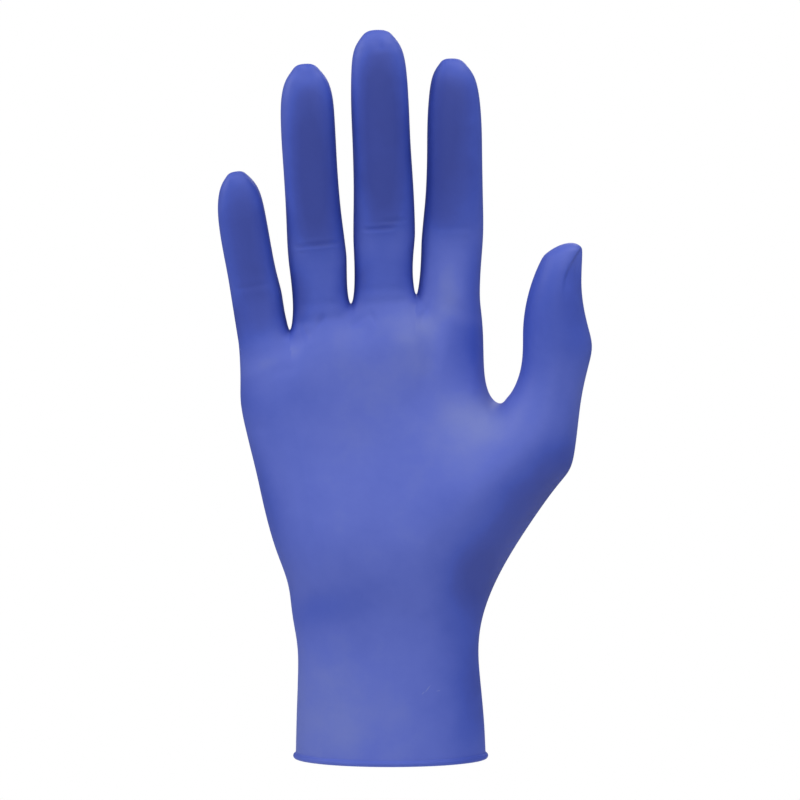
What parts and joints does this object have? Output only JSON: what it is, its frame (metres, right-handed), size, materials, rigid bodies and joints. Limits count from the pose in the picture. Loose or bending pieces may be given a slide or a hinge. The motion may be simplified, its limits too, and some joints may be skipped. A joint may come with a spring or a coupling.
{
  "type": "nitrile exam glove",
  "caption": "Thin nitrile examination glove in the form that a right hand gives it: slim fingers that curl forward a little, a thumb held out to one side, a plain sleeve and a rolled bead round its mouth.",
  "frame": {"origin": "centre of the cuff's mouth, level with the lowest point of its rolled bead", "axes": "+Z from the cuff towards the fingertips, +X to the side that the thumb is on, -Y out of the palm"},
  "size_m": [0.1218, 0.0494, 0.237],
  "materials": {
    "nitrile film": "smooth, softly shining"
  },
  "bodies": {
    "root": {"glove": "nitrile film"}
  },
  "joints": []
}
